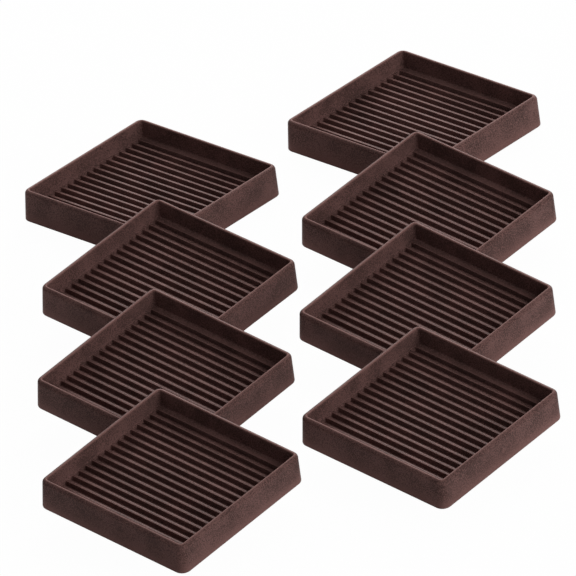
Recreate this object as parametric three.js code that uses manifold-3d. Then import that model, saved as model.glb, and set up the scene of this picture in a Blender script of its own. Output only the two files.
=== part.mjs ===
// Eight square rubber furniture cups, fanned out in two columns, each cup leaning on the one behind it.
// Millimetres, +Z up, +Y towards the back of the columns, origin on the floor under the middle of the set.
import * as THREE from "three";
import { mergeVertices } from "three/addons/utils/BufferGeometryUtils.js";
import Module from "manifold-3d";

const wasm = await Module();
wasm.setup();

// Walls of one cup
const seatSide = 77.2; // inside width at the rib tops, for a 3 inch leg
const trayDraft = 0.6; // how much each inner wall opens out towards the rim
const rimWall = 2.4; // wall thickness at the rim
const baseFlare = 0.7; // how far each outer wall stands out at the base
const cupHeight = 15;
const seatCornerRadius = 0.8;
const mouthCornerRadius = 1.2;
const rimCornerRadius = 3.8;
const baseCornerRadius = 4.5;
const outerRimRounding = 1.6;
const innerRimRounding = 0.7;
const baseChamfer = 0.4;

// Ribbed floor of the tray
const floorThickness = 4.6; // under the grooves
const ribHeight = 2.4;
const ribPitch = 4.5;
const grooveWidth = 4.1; // open width at the rib tops
const crestDraft = 0.15; // lean of the steep side of a rib
const ribRounding = 2.3; // radius of the rolled far side of a rib
const backLedge = 3.3; // plain strip between the back wall and the first groove
const sideLedge = 0.4; // plain strip between the side walls and the ends of the grooves

// Grip grooves under the base
const treadPitch = 9.2;
const treadWidth = 1.4;
const treadDepth = 0.5;
const treadMargin = 9;

// How the cups lie
const restGap = 0.3; // between a cup and the one it leans on
const columnSpacing = 123.5;
const leftColumnForward = 41.5;
const secondRightSideStep = -1.7; // sideways shift of each leaning cup from the one behind it
const thirdRightSideStep = -8.3;
const frontRightSideStep = -6.5;
const secondLeftSideStep = 0.8;
const thirdLeftSideStep = -8.5;
const frontLeftSideStep = -4.5;

// The leaning cups of each column from back to front. Each stands on its front corner and rests on the rim
// behind it at a share of its underside's diagonal.
const rightColumn = [
  { row: "second", restShare: 0.94, sideStep: secondRightSideStep },
  { row: "third", restShare: 0.79, sideStep: thirdRightSideStep },
  { row: "front", restShare: 0.837, sideStep: frontRightSideStep },
];
const leftColumn = [
  { row: "second", restShare: 0.928, sideStep: secondLeftSideStep },
  { row: "third", restShare: 0.777, sideStep: thirdLeftSideStep },
  { row: "front", restShare: 0.802, sideStep: frontLeftSideStep },
];

const overrun = 1; // how far a cut reaches past the surface it opens
const cornerArcSteps = 3;
const rimArcSteps = 2;
const ribArcSteps = 2;
const rubberColour = 0x4a3735;

const mouthSide = seatSide + 2 * trayDraft;
const rimSide = mouthSide + 2 * rimWall;
const baseSide = rimSide + 2 * baseFlare;
const ribTop = floorThickness + ribHeight;

// A square outline with round corners.
function squareOutline(side, cornerRadius) {
  const middle = side / 2 - cornerRadius;
  const outline = new THREE.Path();
  for (let corner = 0; corner < 4; corner++) {
    const start = (corner * Math.PI) / 2;
    const x = middle * Math.sign(Math.cos(start + Math.PI / 4));
    const y = middle * Math.sign(Math.sin(start + Math.PI / 4));
    outline.absarc(x, y, cornerRadius, start, start + Math.PI / 2);
  }
  return outline.getPoints(cornerArcSteps);
}

// A closed body through square outlines, listed from the bottom up.
function loftGeometry(levels) {
  const outlines = levels.map((level) => squareOutline(level.side, level.cornerRadius));
  const around = outlines[0].length;
  const points = outlines.flatMap((outline, i) => outline.map((p) => new THREE.Vector3(p.x, p.y, levels[i].z)));
  const index = [];
  for (let level = 0; level + 1 < levels.length; level++) {
    for (let i = 0; i < around; i++) {
      const here = level * around + i;
      const next = level * around + ((i + 1) % around);
      index.push(here, next, next + around, here, next + around, here + around);
    }
  }
  const top = (levels.length - 1) * around;
  for (const [a, b, c] of THREE.ShapeUtils.triangulateShape(outlines[0], [])) {
    index.push(a, c, b);
    index.push(top + a, top + b, top + c);
  }
  const geometry = new THREE.BufferGeometry().setFromPoints(points);
  geometry.setIndex(index);
  return geometry;
}

function solidOf(geometry) {
  geometry.deleteAttribute("normal");
  geometry.deleteAttribute("uv");
  const merged = mergeVertices(geometry);
  const mesh = new wasm.Mesh({
    numProp: 3,
    vertProperties: merged.attributes.position.array,
    triVerts: new Uint32Array(merged.index.array),
  });
  return new wasm.Manifold(mesh);
}

function geometryOf(solid) {
  const mesh = solid.getMesh();
  const geometry = new THREE.BufferGeometry();
  geometry.setAttribute("position", new THREE.BufferAttribute(mesh.vertProperties, mesh.numProp));
  geometry.setIndex(new THREE.BufferAttribute(mesh.triVerts, 1));
  return geometry;
}

// The whole outside: chamfered base, drafted wall and rolled rim.
function outerBody() {
  const levels = [
    { side: baseSide - 2 * baseChamfer, cornerRadius: baseCornerRadius - baseChamfer, z: 0 },
    { side: baseSide, cornerRadius: baseCornerRadius, z: baseChamfer },
  ];
  for (let i = 0; i <= rimArcSteps; i++) {
    const turn = ((i / rimArcSteps) * Math.PI) / 2;
    const inset = outerRimRounding * (1 - Math.cos(turn));
    levels.push({
      side: rimSide - 2 * inset,
      cornerRadius: rimCornerRadius - inset,
      z: cupHeight - outerRimRounding * (1 - Math.sin(turn)),
    });
  }
  return solidOf(loftGeometry(levels));
}

// The hollow above the rib tops, with the rounded inner edge of the rim.
function trayCut() {
  const levels = [{ side: seatSide, cornerRadius: seatCornerRadius, z: ribTop }];
  for (let i = 0; i <= rimArcSteps; i++) {
    const turn = ((i / rimArcSteps) * Math.PI) / 2;
    const outset = innerRimRounding * (1 - Math.cos(turn));
    levels.push({
      side: mouthSide + 2 * outset,
      cornerRadius: mouthCornerRadius + outset,
      z: cupHeight - innerRimRounding * (1 - Math.sin(turn)),
    });
  }
  levels.push({ ...levels.at(-1), z: cupHeight + overrun });
  return solidOf(loftGeometry(levels));
}

// One groove of the tray floor: steep under the rib crest behind it, rolled over the rib in front of it.
function grooveCut(crestY) {
  const section = new THREE.Shape();
  section.moveTo(0, ribTop + overrun);
  section.lineTo(0, ribTop);
  section.lineTo(-crestDraft, floorThickness);
  section.lineTo(ribRounding - grooveWidth, floorThickness);
  section.absarc(-grooveWidth, ribTop - ribRounding, ribRounding, 0, Math.PI / 2);
  section.lineTo(-grooveWidth, ribTop + overrun);
  const length = seatSide - 2 * sideLedge;
  const settings = { depth: length, curveSegments: ribArcSteps, bevelEnabled: false };
  const groove = new THREE.ExtrudeGeometry(section, settings);
  groove.translate(0, 0, -length / 2);
  const acrossRibs = new THREE.Vector3(0, 1, 0);
  const up = new THREE.Vector3(0, 0, 1);
  const alongRibs = new THREE.Vector3(1, 0, 0);
  groove.applyMatrix4(new THREE.Matrix4().makeBasis(acrossRibs, up, alongRibs));
  groove.translate(0, crestY, 0);
  return solidOf(groove);
}

// One shallow grip groove under the base.
function treadCut(y) {
  const length = baseSide - 2 * treadMargin;
  const tread = new THREE.BoxGeometry(length, treadWidth, treadDepth + overrun);
  tread.translate(0, y, (treadDepth - overrun) / 2);
  return solidOf(tread);
}

function cupSolid() {
  let cup = outerBody().subtract(trayCut());
  const firstCrest = seatSide / 2 - backLedge;
  const grooves = 1 + Math.floor((seatSide - backLedge - grooveWidth) / ribPitch);
  for (let i = 0; i < grooves; i++) {
    cup = cup.subtract(grooveCut(firstCrest - i * ribPitch));
  }
  const treadRun = baseSide - 2 * treadMargin - treadWidth;
  const treadGaps = Math.floor(treadRun / treadPitch);
  for (let i = 0; i <= treadGaps; i++) {
    cup = cup.subtract(treadCut((i - treadGaps / 2) * treadPitch));
  }
  return cup;
}

function mouldedRubber() {
  return new THREE.MeshStandardMaterial({ color: rubberColour, roughness: 0.6, metalness: 0 });
}

// How far a round corner reaches from the middle of a square, along the diagonal.
function diagonalReach(side, cornerRadius) {
  return (side / 2 - cornerRadius) * Math.SQRT2 + cornerRadius;
}

const cupGeometry = geometryOf(cupSolid());
const footReach = diagonalReach(baseSide, baseCornerRadius) - baseChamfer;

// A cup that stands on its front corner at x, y on the floor, with its back corner tipped up by a tilt.
function placedCup(name, x, y, tilt) {
  const cup = new THREE.Mesh(cupGeometry.clone(), mouldedRubber());
  cup.name = name;
  cup.rotation.z = -Math.PI / 4;
  cup.position.y = footReach;
  const foot = new THREE.Group();
  foot.position.set(x, y, 0);
  foot.rotation.x = tilt;
  foot.add(cup);
  return foot;
}

// How a leaning cup lies: its tilt, and where its front corner stands, so that it rests on the rim behind it.
function nextLean(y, tilt, restShare) {
  const roundingReach = diagonalReach(rimSide, rimCornerRadius) - outerRimRounding;
  const roundingCentre = new THREE.Vector3(0, footReach - roundingReach, cupHeight - outerRimRounding);
  roundingCentre.applyAxisAngle(new THREE.Vector3(1, 0, 0), tilt);
  const run = restShare * 2 * footReach;
  const clearance = outerRimRounding + restGap;
  const nextTilt = Math.asin(roundingCentre.z / Math.hypot(run, clearance)) + Math.atan2(clearance, run);
  const nextY = y + roundingCentre.y - run * Math.cos(nextTilt) - clearance * Math.sin(nextTilt);
  return { y: nextY, tilt: nextTilt };
}

// One column from back to front: the flat cup, then the leaning ones.
function column(side, x, y, leaningCups) {
  const cups = new THREE.Group();
  let lean = { y, tilt: 0 };
  cups.add(placedCup(`back_${side}_cup`, x, lean.y, lean.tilt));
  for (const { row, restShare, sideStep } of leaningCups) {
    lean = nextLean(lean.y, lean.tilt, restShare);
    x += sideStep;
    cups.add(placedCup(`${row}_${side}_cup`, x, lean.y, lean.tilt));
  }
  return cups;
}

const cups = new THREE.Group();
cups.add(column("right", 0, 0, rightColumn));
cups.add(column("left", -columnSpacing, -leftColumnForward, leftColumn));

const bounds = new THREE.Box3().setFromObject(cups, true);
const middle = bounds.getCenter(new THREE.Vector3());
cups.position.set(-middle.x, -middle.y, -bounds.min.z);

export default cups;
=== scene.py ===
# Eight square rubber furniture cups, fanned out in two columns on a white floor.
# Metres, +Z up, +Y towards the back of the columns, origin on the floor under the set's middle.
import math

import bmesh
import bpy
from mathutils import Matrix, Vector


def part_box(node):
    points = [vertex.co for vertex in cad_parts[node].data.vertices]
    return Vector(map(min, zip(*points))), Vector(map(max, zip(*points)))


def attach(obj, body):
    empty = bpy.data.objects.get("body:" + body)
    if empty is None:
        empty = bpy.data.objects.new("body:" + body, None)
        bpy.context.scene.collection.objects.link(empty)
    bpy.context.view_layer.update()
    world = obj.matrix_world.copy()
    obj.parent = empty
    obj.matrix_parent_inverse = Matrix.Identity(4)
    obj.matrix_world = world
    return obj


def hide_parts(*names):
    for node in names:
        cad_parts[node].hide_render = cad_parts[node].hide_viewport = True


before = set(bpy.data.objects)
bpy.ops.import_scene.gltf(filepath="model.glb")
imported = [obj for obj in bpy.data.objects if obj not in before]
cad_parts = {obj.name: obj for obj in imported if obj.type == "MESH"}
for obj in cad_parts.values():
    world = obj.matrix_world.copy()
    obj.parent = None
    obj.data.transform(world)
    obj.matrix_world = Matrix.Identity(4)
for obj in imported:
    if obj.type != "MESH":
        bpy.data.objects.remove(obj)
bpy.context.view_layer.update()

# Walls of one cup
SEAT_SIDE = 0.0772  # inside width at the rib tops
TRAY_DRAFT = 0.0006  # how much each inner wall opens out towards the rim
RIM_WALL = 0.0024
BASE_FLARE = 0.0007  # how far each outer wall stands out at the base
CUP_HEIGHT = 0.015
SEAT_CORNER = 0.0008
MOUTH_CORNER = 0.0012
RIM_CORNER = 0.0038
BASE_CORNER = 0.0045
BASE_ROUNDING = 0.0004
RIM_ROLL_HEIGHT = 0.0019  # outer side of the rim, part of an oval
RIM_SLOPE = math.radians(15)  # how much of the oval's quarter turn is left at the crest of the rim
RIM_EDGE = 0.0007  # rounding of its inner side
WALL_FILLET = 0.00025  # where an inner wall meets the tray floor
MOUTH_SIDE = SEAT_SIDE + 2 * TRAY_DRAFT
RIM_SIDE = MOUTH_SIDE + 2 * RIM_WALL
BASE_SIDE = RIM_SIDE + 2 * BASE_FLARE

# Ribbed floor of the tray
RIB_TOP = 0.007
RIB_HEIGHT = 0.0024
RIB_PITCH = 0.0045
GROOVE_FLOOR = 0.0018
CREST_DRAFT = 0.00015  # lean of the steep side of a rib
CREST_ROUNDING = 0.00015
RIB_ROLL = 0.0023  # radius of the far side of a rib
GROOVE_END_ROUNDING = 0.0005
BACK_LEDGE = 0.0033  # plain strip between the back wall and the first groove
SIDE_LEDGE = 0.0004  # plain strip between the side walls and the ends of the grooves
GROOVES = 16

# Grip grooves under the base
TREAD_PITCH = 0.0092
TREAD_WIDTH = 0.0014
TREAD_DEPTH = 0.0005
TREAD_MARGIN = 0.009
TREADS = 8

# How far each cup is tipped up at the back, in degrees
LEANS = {
    "back_right_cup": 0,
    "second_right_cup": 8.118,
    "third_right_cup": 9.754,
    "front_right_cup": 9.2,
    "back_left_cup": 0,
    "second_left_cup": 8.224,
    "third_left_cup": 9.918,
    "front_left_cup": 9.603,
}

# Fineness of the round parts
CORNER_STEPS = 8
ROLL_STEPS = 8
EDGE_STEPS = 3
ROUND_PROFILE = 0.5  # makes a bevel part of a circle

# How places and edges are told apart
TOUCH = 1e-6  # closer than this, two places are the same
DECIMALS = 6  # kept of a place when faces are put in order
STEEP_BELOW = 0.5  # a face is steep where its unit normal rises or falls by less than this
SHARP_ANGLE = math.radians(35)  # an edge that turns by more than this isn't shaded smooth

# Shares of a wall's height that get an outline. Those near its ends keep its shading flat.
OUTER_WALL_SHARES = (0.03, 0.35, 0.7, 0.97)
INNER_WALL_SHARES = (0.03, 0.5, 0.97)

# Colours, sRGB
RUBBER_LIGHT = "775854"
RUBBER_DARK = "4b3835"
# pale brown of the painted highlights and painted floor light
RUBBER_PAINTED_LIGHT = "84615c"
RUBBER_GLOSS = "d09c94"
FLOOR_GREY = "e6e6e6"
WHITE = "ffffff"

# Dull shine of the rubber
RUBBER_ROUGHNESS = 0.5
RUBBER_IOR = 1.5
RUBBER_SPECULAR = 0.06

# Grain of the rubber, a little coarser than the photograph's, which is about a pixel wide
SPECK_SIZE = 0.0005
GRAIN_SIZE = 0.0006
GRAIN_DEPTH = 0.00006
GRAIN_STRENGTH = 0.4
CLOUD_SIZE = 0.012  # faint unevenness of the pressed surface
CLOUD_SHARE = 0.35  # its weight beside the specks
DARK_BELOW = 0.6  # from specks and clouds together: all dark below this
LIGHT_ABOVE = 0.76  # and all light above this

# Where light is painted into the rubber's colour: highlights on the rib crests and the rim's inner
# edge, and bounce light from the floor low down
CREST_HIGHLIGHT_REACH = 0.0003  # how fast it fades behind the crest of a rib
RIM_HIGHLIGHT_REACH = 0.0003  # and outwards from the inner edge of the rim
FOOT_PAINTED_LIGHT_HEIGHT = 0.006  # and how high up from the floor it reaches

# The photograph's view, in degrees, metres and pixels
VIEW_AZIMUTH = -2.42
VIEW_ELEVATION = 28.73
VIEW_ROLL = 4.55
VIEW_DISTANCE = 12.0
VIEW_END = 48.0  # nothing further off is seen
PICTURE_WIDTH = 576
PIXELS_PER_METRE = 2216.6  # at the middle of the set
ORIGIN_PIXEL = (295.5, 322.1)  # where the middle of the set stands on the floor

# Floor, surround and lamps
FLOOR_SIDE = 12.0
FLOOR_DROP = 0.00005  # keeps the floor clear of the flat cups' underside
FLOOR_LIFT_SHARE = 0.98  # how far the floor is seen as plain white
SURROUND_STRENGTH = 0.13  # how strongly it lights the cups, though it is seen at 1
LAMP_DISTANCE = 2.5

# Sockets of a colour mix node, which has several with the same name
MIX_FACTOR = 0
MIX_FIRST = 6
MIX_SECOND = 7
MIX_RESULT = 2


def quarter_turn(steps):
    """The angles of a quarter turn, both ends included."""
    return [math.pi / 2 * step / steps for step in range(steps + 1)]


def between(low, high, share):
    return low + (high - low) * share


def same(a, b):
    return abs(a - b) < TOUCH


def round_off(bm, parts, kind, radius, steps):
    """Rounds corners or edges of a mesh, as the kind says, to a radius."""
    bmesh.ops.bevel(bm, geom=parts, affect=kind, offset=radius, offset_type="OFFSET",
                    segments=steps, profile=ROUND_PROFILE, clamp_overlap=False, material=-1)


# One cup, in its own frame: X along the ribs, +Y towards the back wall, Z up

def cup_outlines():
    """The outlines up the outside of a cup, over its rim and down to the tray floor.

    Each is given as its side, corner radius and height.
    """
    outlines = []
    for turn in quarter_turn(EDGE_STEPS):
        inset = BASE_ROUNDING * (1 - math.sin(turn))
        height = BASE_ROUNDING * (1 - math.cos(turn))
        outlines.append((BASE_SIDE - 2 * inset, BASE_CORNER - inset, height))
    roll_start = CUP_HEIGHT - RIM_ROLL_HEIGHT
    for share in OUTER_WALL_SHARES:
        outlines.append((between(BASE_SIDE, RIM_SIDE, share),
                         between(BASE_CORNER, RIM_CORNER, share),
                         between(BASE_ROUNDING, roll_start, share)))
    roll_width = (RIM_WALL - RIM_EDGE) / (1 - math.sin(RIM_SLOPE))
    roll_height = RIM_ROLL_HEIGHT / math.cos(RIM_SLOPE)
    for turn in quarter_turn(ROLL_STEPS)[:-1]:
        turn *= 1 - RIM_SLOPE / (math.pi / 2)
        inset = roll_width * (1 - math.cos(turn))
        height = roll_start + roll_height * math.sin(turn)
        outlines.append((RIM_SIDE - 2 * inset, RIM_CORNER - inset, height))
    edge_start = CUP_HEIGHT - RIM_EDGE
    for turn in reversed(quarter_turn(ROLL_STEPS)):
        outset = RIM_EDGE * (1 - math.cos(turn))
        height = edge_start + RIM_EDGE * math.sin(turn)
        outlines.append((MOUTH_SIDE + 2 * outset, MOUTH_CORNER + outset, height))
    fillet_top = RIB_TOP + WALL_FILLET
    for share in INNER_WALL_SHARES:
        outlines.append((between(MOUTH_SIDE, SEAT_SIDE, share),
                         between(MOUTH_CORNER, SEAT_CORNER, share),
                         between(edge_start, fillet_top, share)))
    for turn in quarter_turn(EDGE_STEPS):
        inset = WALL_FILLET * (1 - math.cos(turn))
        height = fillet_top - WALL_FILLET * math.sin(turn)
        outlines.append((SEAT_SIDE - 2 * inset, SEAT_CORNER - inset, height))
    return outlines


def add_outline(bm, side, corner, height):
    """A square with round corners, lying flat at a height, as one face."""
    known = set(bm.faces)
    place = Matrix.Translation((0, 0, height))
    square = bmesh.ops.create_grid(bm, x_segments=1, y_segments=1, size=side / 2, matrix=place)
    round_off(bm, square["verts"], "VERTICES", corner, CORNER_STEPS)
    return next(face for face in bm.faces if face not in known)


def add_cup_body(bm):
    """The closed body of a cup with a plain base and a plain tray floor, which are given back."""
    faces = [add_outline(bm, *outline) for outline in cup_outlines()]
    for lower, upper in zip(faces, faces[1:]):
        bmesh.ops.bridge_loops(bm, edges=[*lower.edges, *upper.edges])
    bmesh.ops.delete(bm, geom=faces[1:-1], context="FACES_ONLY")
    return faces[0], faces[-1]


def cut_faces(bm, faces, point, normal):
    """Cuts faces along a plane and gives the faces on both sides of it."""
    edges = {edge for face in faces for edge in face.edges}
    corners = {corner for face in faces for corner in face.verts}
    parts = [*faces, *edges, *corners]
    cut = bmesh.ops.bisect_plane(bm, geom=parts, dist=TOUCH, plane_co=point, plane_no=normal)
    return [part for part in cut["geom"] if isinstance(part, bmesh.types.BMFace)]


def sink_strips(bm, face, half_length, spans, depth):
    """Sinks straight strips into a level face, or raises them where the depth is positive."""
    height = face.calc_center_median().z
    faces = [face]
    for x in (-half_length, half_length):
        faces = cut_faces(bm, faces, (x, 0, height), (1, 0, 0))
    middle = [part for part in faces if same(part.calc_center_median().x, 0)]
    for y in sorted({edge for span in spans for edge in span}):
        middle = cut_faces(bm, middle, (0, y, height), (0, 1, 0))
    strips = []
    for low, high in spans:
        centre = (low + high) / 2
        strips.append(next(part for part in middle if same(part.calc_center_bounds().y, centre)))
    floors = bmesh.ops.extrude_discrete_faces(bm, faces=strips)["faces"]
    corners = [corner for floor in floors for corner in floor.verts]
    bmesh.ops.translate(bm, verts=corners, vec=(0, 0, depth))


def edges_where(bm, rule):
    """The edges whose two ends both fit a rule."""
    return [edge for edge in bm.edges if all(rule(corner.co) for corner in edge.verts)]


def rib_the_floor(bm, floor):
    """Sinks the grooves into the tray floor: steep under a crest, rolled over the next rib."""
    half_length = SEAT_SIDE / 2 - SIDE_LEDGE
    crests = [SEAT_SIDE / 2 - BACK_LEDGE - groove * RIB_PITCH for groove in range(GROOVES)]
    spans = [(crest - GROOVE_FLOOR, crest) for crest in crests]
    sink_strips(bm, floor, half_length, spans, -RIB_HEIGHT)

    def on_top(point):
        return same(point.z, RIB_TOP) and abs(point.x) < half_length + TOUCH

    def under_crest(point):
        return any(same(point.y, crest) for crest in crests)

    def at_corner(point):
        return same(abs(point.x), half_length) and under_crest(point)

    def at_roll(point):
        return on_top(point) and any(same(point.y, low_side) for low_side, _ in spans)

    def at_crest(point):
        reach = GROOVE_END_ROUNDING + TOUCH
        return on_top(point) and any(crest - reach < point.y < crest + TOUCH for crest in crests)

    def rises(edge):
        return not same(edge.verts[0].co.z, edge.verts[1].co.z)

    def is_brink(edge):
        return any(abs(face.normal.z) < STEEP_BELOW for face in edge.link_faces)

    corners = [edge for edge in edges_where(bm, at_corner) if rises(edge)]
    round_off(bm, corners, "EDGES", GROOVE_END_ROUNDING, EDGE_STEPS)
    round_off(bm, edges_where(bm, at_roll), "EDGES", RIB_ROLL, ROLL_STEPS)
    bm.normal_update()
    brinks = [edge for edge in edges_where(bm, at_crest) if is_brink(edge)]
    round_off(bm, brinks, "EDGES", CREST_ROUNDING, EDGE_STEPS)
    groove_floor = RIB_TOP - RIB_HEIGHT
    leaning = [corner for corner in bm.verts
               if same(corner.co.z, groove_floor) and under_crest(corner.co)]
    bmesh.ops.translate(bm, verts=leaning, vec=(0, -CREST_DRAFT, 0))


def groove_the_base(bm, base):
    """Sinks the grip grooves into the underside."""
    spans = []
    for tread in range(TREADS):
        centre = (tread - (TREADS - 1) / 2) * TREAD_PITCH
        spans.append((centre - TREAD_WIDTH / 2, centre + TREAD_WIDTH / 2))
    sink_strips(bm, base, BASE_SIDE / 2 - TREAD_MARGIN, spans, TREAD_DEPTH)


def painted_light_share(point):
    """How much light is painted into a place, from 0 to 1.

    That is painted bounce light from the floor on all that is low down, and painted highlights on
    the inner edge of the rim and on the rib crests.
    """
    outwards = max(abs(point.x), abs(point.y))
    # Painted bounce light from the floor, strongest at the floor and fading upwards
    if point.z < FOOT_PAINTED_LIGHT_HEIGHT - TOUCH:
        return 1 - point.z / FOOT_PAINTED_LIGHT_HEIGHT
    # Painted highlight along the inner edge of the rim, fading outwards
    if point.z > RIB_TOP + TOUCH:
        rise = max(1 - (CUP_HEIGHT - point.z) / RIM_EDGE, 0)
        return rise * math.exp(-max(outwards - MOUTH_SIDE / 2 - RIM_EDGE, 0) / RIM_HIGHLIGHT_REACH)
    if outwards > SEAT_SIDE / 2 - SIDE_LEDGE - TOUCH:
        return 0
    # Painted highlight along each rib crest, fading behind it
    rise = max(1 - (RIB_TOP - point.z) / CREST_ROUNDING, 0)
    behind_crest = (point.y - SEAT_SIDE / 2 + BACK_LEDGE + TOUCH) % RIB_PITCH
    return rise * math.exp(-behind_crest / CREST_HIGHLIGHT_REACH)


def face_place(face):
    """Where a face lies, rounded so that it is the same in each run."""
    return [round(value, DECIMALS) for value in face.calc_center_median()]


def put_faces_in_order(bm):
    """Gives the faces the same order in each run, which bevels don't."""
    order = {face: place for place, face in enumerate(sorted(bm.faces, key=face_place))}
    bm.faces.sort(key=order.get)


def cup_mesh():
    bm = bmesh.new()
    base, floor = add_cup_body(bm)
    rib_the_floor(bm, floor)
    groove_the_base(bm, base)
    bmesh.ops.remove_doubles(bm, verts=bm.verts, dist=TOUCH)
    bmesh.ops.dissolve_degenerate(bm, edges=bm.edges, dist=TOUCH)
    bmesh.ops.recalc_face_normals(bm, faces=bm.faces)
    put_faces_in_order(bm)
    # Painted light on each corner: highlights on crests and the rim's inner edge, floor light low
    # down
    painted_light = bm.verts.layers.float.new("painted_light")
    for corner in bm.verts:
        corner[painted_light] = painted_light_share(corner.co)
    mesh = bpy.data.meshes.new("cup")
    bm.to_mesh(mesh)
    bm.free()
    mesh.shade_smooth()
    mesh.set_sharp_from_angle(angle=SHARP_ANGLE)
    return mesh


# Placing the cups

def cup_turn(node):
    """How a node's cup is turned: its corner to the front, and tipped up as far as it leans."""
    lean = Matrix.Rotation(math.radians(LEANS[node]), 4, "X")
    return lean @ Matrix.Rotation(-math.pi / 4, 4, "Z")


def mesh_box(mesh):
    corners = [vertex.co for vertex in mesh.vertices]
    lowest = Vector(min(corner[axis] for corner in corners) for axis in range(3))
    highest = Vector(max(corner[axis] for corner in corners) for axis in range(3))
    return lowest, highest


def place_cup(node, mesh, rubber):
    """A fine cup where a node stands: turned as it is, in the middle of its box, on its foot."""
    own = mesh.copy()
    own.transform(cup_turn(node))
    low, high = mesh_box(own)
    node_low, node_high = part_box(node)
    shift = (node_low + node_high) / 2 - (low + high) / 2
    shift.z = node_low.z - low.z
    own.transform(Matrix.Translation(shift))
    cup = bpy.data.objects.new(f"{node}_moulding", own)
    bpy.context.collection.objects.link(cup)
    own.materials.append(rubber)
    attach(cup, node.removesuffix("_cup"))
    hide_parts(node)


# Materials

def linear(hex_colour):
    """An sRGB hex colour as linear red, green, blue and alpha."""
    channels = [int(hex_colour[place:place + 2], 16) / 255 for place in (0, 2, 4)]
    return (*[c / 12.92 if c <= 0.04045 else ((c + 0.055) / 1.055) ** 2.4 for c in channels], 1)


def add_node(tree, kind, settings=None, links=None, **properties):
    """A node with its properties, its input values and its links from other nodes' outputs."""
    node = tree.nodes.new(kind)
    for name, value in properties.items():
        setattr(node, name, value)
    for socket, value in (settings or {}).items():
        node.inputs[socket].default_value = value
    for socket, source in (links or {}).items():
        tree.links.new(source, node.inputs[socket])
    return node


def new_material(name):
    material = bpy.data.materials.new(name)
    material.use_nodes = True
    material.node_tree.nodes.clear()
    return material, material.node_tree


def add_noise(tree, place, size, **settings):
    """The value of a noise whose grains are about a given size."""
    noise = add_node(tree, "ShaderNodeTexNoise", {"Scale": 1 / size, **settings}, {"Vector": place})
    return noise.outputs["Fac"]


def moulded_rubber():
    """Moulded rubber: dark brown, dull and finely specked, with highlights and floor light painted
    paler into it.
    """
    material, tree = new_material("moulded_matt_rubber")
    place = add_node(tree, "ShaderNodeTexCoord").outputs["Object"]
    specks = add_noise(tree, place, SPECK_SIZE, Detail=1.5, Roughness=0.7)
    clouds = add_noise(tree, place, CLOUD_SIZE, Detail=2)
    mottle = add_node(tree, "ShaderNodeMath", {1: CLOUD_SHARE}, {0: clouds, 2: specks},
                      operation="MULTIPLY_ADD")
    light_share = add_node(tree, "ShaderNodeMapRange",
                           {"From Min": DARK_BELOW, "From Max": LIGHT_ABOVE},
                           {"Value": mottle.outputs[0]})
    plain = add_node(tree, "ShaderNodeMix",
                     {MIX_FIRST: linear(RUBBER_DARK), MIX_SECOND: linear(RUBBER_LIGHT)},
                     {MIX_FACTOR: light_share.outputs["Result"]}, data_type="RGBA")
    # Painted highlights and painted floor light, mixed in paler
    painted_light = add_node(tree, "ShaderNodeAttribute", attribute_name="painted_light")
    colour = add_node(tree, "ShaderNodeMix", {MIX_SECOND: linear(RUBBER_PAINTED_LIGHT)},
                      {MIX_FACTOR: painted_light.outputs["Fac"], MIX_FIRST: plain.outputs[MIX_RESULT]},
                      data_type="RGBA")
    grain = add_noise(tree, place, GRAIN_SIZE, Detail=2, Roughness=0.6)
    bump = add_node(tree, "ShaderNodeBump", {"Strength": GRAIN_STRENGTH, "Distance": GRAIN_DEPTH},
                    {"Height": grain})
    shader = add_node(tree, "ShaderNodeBsdfPrincipled",
                      {"Roughness": RUBBER_ROUGHNESS, "IOR": RUBBER_IOR,
                       "Specular IOR Level": RUBBER_SPECULAR,
                       "Specular Tint": linear(RUBBER_GLOSS)},
                      {"Base Color": colour.outputs[MIX_RESULT],
                       "Normal": bump.outputs["Normal"]})
    add_node(tree, "ShaderNodeOutputMaterial", links={"Surface": shader.outputs["BSDF"]})
    return material


def seen_directly(tree):
    """1 for the camera and for reflections, 0 for the light that falls on the object."""
    path = add_node(tree, "ShaderNodeLightPath").outputs
    mirrored = add_node(tree, "ShaderNodeMath",
                        links={0: path["Is Glossy Ray"], 1: path["Is Transmission Ray"]},
                        operation="MAXIMUM")
    seen = add_node(tree, "ShaderNodeMath",
                    links={0: path["Is Camera Ray"], 1: mirrored.outputs[0]}, operation="MAXIMUM")
    return seen.outputs[0]


def floor_paint():
    """Matt board, seen as nearly white all over, with a faint shadow."""
    material, tree = new_material("matt_board")
    board = add_node(tree, "ShaderNodeBsdfDiffuse", {"Color": linear(FLOOR_GREY)})
    white = add_node(tree, "ShaderNodeEmission", {"Color": linear(WHITE), "Strength": 1})
    share = add_node(tree, "ShaderNodeMath", {1: FLOOR_LIFT_SHARE}, {0: seen_directly(tree)},
                     operation="MULTIPLY")
    surface = add_node(tree, "ShaderNodeMixShader",
                       links={0: share.outputs[0], 1: board.outputs["BSDF"],
                              2: white.outputs["Emission"]})
    add_node(tree, "ShaderNodeOutputMaterial", links={"Surface": surface.outputs["Shader"]})
    return material


# Stage, light and camera

def lay_floor():
    bm = bmesh.new()
    place = Matrix.Translation((0, 0, -FLOOR_DROP))
    bmesh.ops.create_grid(bm, x_segments=1, y_segments=1, size=FLOOR_SIDE / 2, matrix=place)
    mesh = bpy.data.meshes.new("floor")
    bm.to_mesh(mesh)
    bm.free()
    floor = bpy.data.objects.new("floor", mesh)
    bpy.context.collection.objects.link(floor)
    mesh.materials.append(floor_paint())


def light_world():
    """A plain surround, seen as white but lighting the cups only weakly."""
    world = bpy.data.worlds.new("white_surround")
    world.use_nodes = True
    tree = world.node_tree
    tree.nodes.clear()
    strength = add_node(tree, "ShaderNodeMapRange", {"To Min": SURROUND_STRENGTH, "To Max": 1},
                        {"Value": seen_directly(tree)})
    surround = add_node(tree, "ShaderNodeBackground", {"Color": linear(WHITE)},
                        {"Strength": strength.outputs["Result"]})
    add_node(tree, "ShaderNodeOutputWorld", links={"Surface": surround.outputs["Background"]})
    bpy.context.scene.world = world


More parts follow.
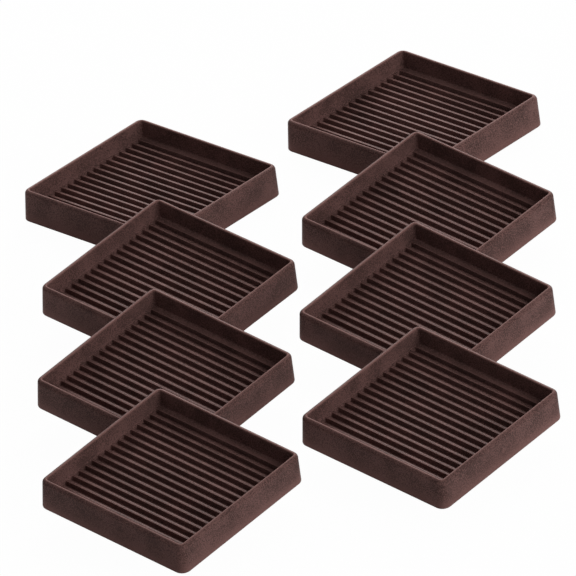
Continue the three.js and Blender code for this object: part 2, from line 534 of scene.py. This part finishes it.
def sight_line(azimuth, elevation):
    """The direction in which the set is seen from a bearing: azimuth 0 is on the -Y side."""
    a = math.radians(azimuth)
    e = math.radians(elevation)
    return Vector((-math.sin(a) * math.cos(e), math.cos(a) * math.cos(e), -math.sin(e)))


def add_softbox(name, azimuth, elevation, size, watts):
    """A square lamp aimed at the middle of the set."""
    light = bpy.data.lights.new(name, "AREA")
    light.shape = "SQUARE"
    light.size = size
    light.energy = watts
    lamp = bpy.data.objects.new(name, light)
    lamp.location = -sight_line(azimuth, elevation) * LAMP_DISTANCE
    lamp.rotation_euler = lamp.location.to_track_quat("Z", "Y").to_euler()
    bpy.context.collection.objects.link(lamp)


def photograph_camera():
    """A long lens at the photograph's angle, with the middle of the set on its pixel."""
    azimuth = math.radians(VIEW_AZIMUTH)
    forward = sight_line(VIEW_AZIMUTH, VIEW_ELEVATION)
    level = Vector((math.cos(azimuth), math.sin(azimuth), 0))
    roll = Matrix.Rotation(math.radians(VIEW_ROLL), 4, forward)
    right = roll @ level
    up = right.cross(forward)
    offset = Vector(ORIGIN_PIXEL) - Vector((PICTURE_WIDTH / 2, PICTURE_WIDTH / 2))
    centre = (up * offset.y - right * offset.x) / PIXELS_PER_METRE
    data = bpy.data.cameras.new("photograph")
    data.lens = data.sensor_width * PIXELS_PER_METRE * VIEW_DISTANCE / PICTURE_WIDTH
    data.clip_end = VIEW_END
    camera = bpy.data.objects.new("photograph", data)
    turn = Matrix((right, up, -forward)).transposed()
    camera.matrix_world = Matrix.Translation(centre - forward * VIEW_DISTANCE) @ turn.to_4x4()
    bpy.context.collection.objects.link(camera)
    bpy.context.scene.camera = camera


photograph_camera()
rubber = moulded_rubber()
fine_cup = cup_mesh()
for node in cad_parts:
    place_cup(node, fine_cup, rubber)
lay_floor()
light_world()
add_softbox("back_softbox", azimuth=168, elevation=32, size=1.8, watts=70)
add_softbox("right_softbox", azimuth=52, elevation=27, size=1.6, watts=32)
bpy.context.scene.view_settings.view_transform = "Standard"
